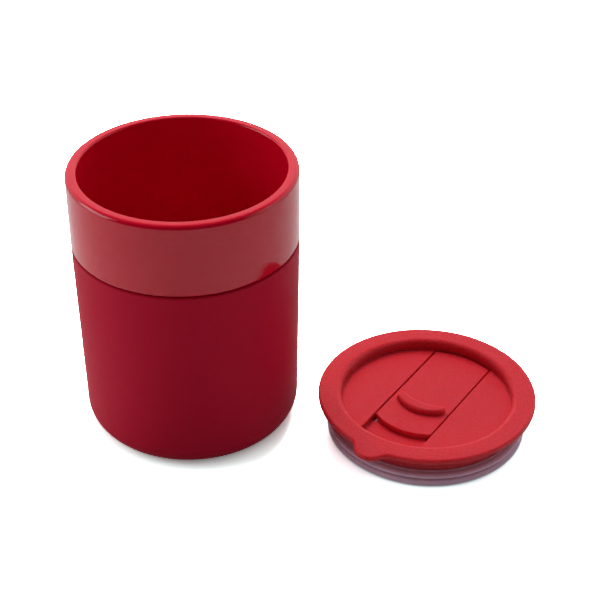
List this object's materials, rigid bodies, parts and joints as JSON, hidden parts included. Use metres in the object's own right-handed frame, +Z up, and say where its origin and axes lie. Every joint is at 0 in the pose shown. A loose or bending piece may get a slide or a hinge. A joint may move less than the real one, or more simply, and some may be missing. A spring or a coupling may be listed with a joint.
{
  "type": "travel cup",
  "caption": "Handleless ceramic travel cup in a soft silicone sleeve, with a press-in plastic lid whose thumb slider opens a sip hole.",
  "frame": {"origin": "centre of the sleeve's flat base, on the table", "axes": "+Z up along the cup's axis, towards its mouth; the lid lies on the table towards +X; -Y is the front"},
  "size_m": [0.1761, 0.0973, 0.108],
  "materials": {
    "cup_glaze": "glossy coloured glaze over stoneware",
    "sleeve_silicone": "matte soft-touch silicone",
    "lid_plastic": "fine spark-eroded grain",
    "gasket_silicone": "translucent unpigmented silicone",
    "slider_plastic": "fine spark-eroded grain"
  },
  "bodies": {
    "sleeve": {"silicone_sleeve": "sleeve_silicone"},
    "cup": {"ceramic_cup": "cup_glaze"},
    "lid": {"lid_body": "lid_plastic", "lid_gasket": "gasket_silicone"},
    "slider": {"lid_slider": "slider_plastic"}
  },
  "joints": [
    {"name": "cup_lift", "type": "slide", "parent": "sleeve", "child": "cup", "axis": [0, 0, 1], "range_m": [0, 0.085]},
    {"name": "lid_lift", "type": "slide", "parent": "sleeve", "child": "lid", "axis": [0, 0, 1], "range_m": [0, 0.125]},
    {"name": "slider_travel", "type": "slide", "parent": "lid", "child": "slider", "axis": [-0.5446, -0.8387, 0], "range_m": [0, 0.011]}
  ]
}
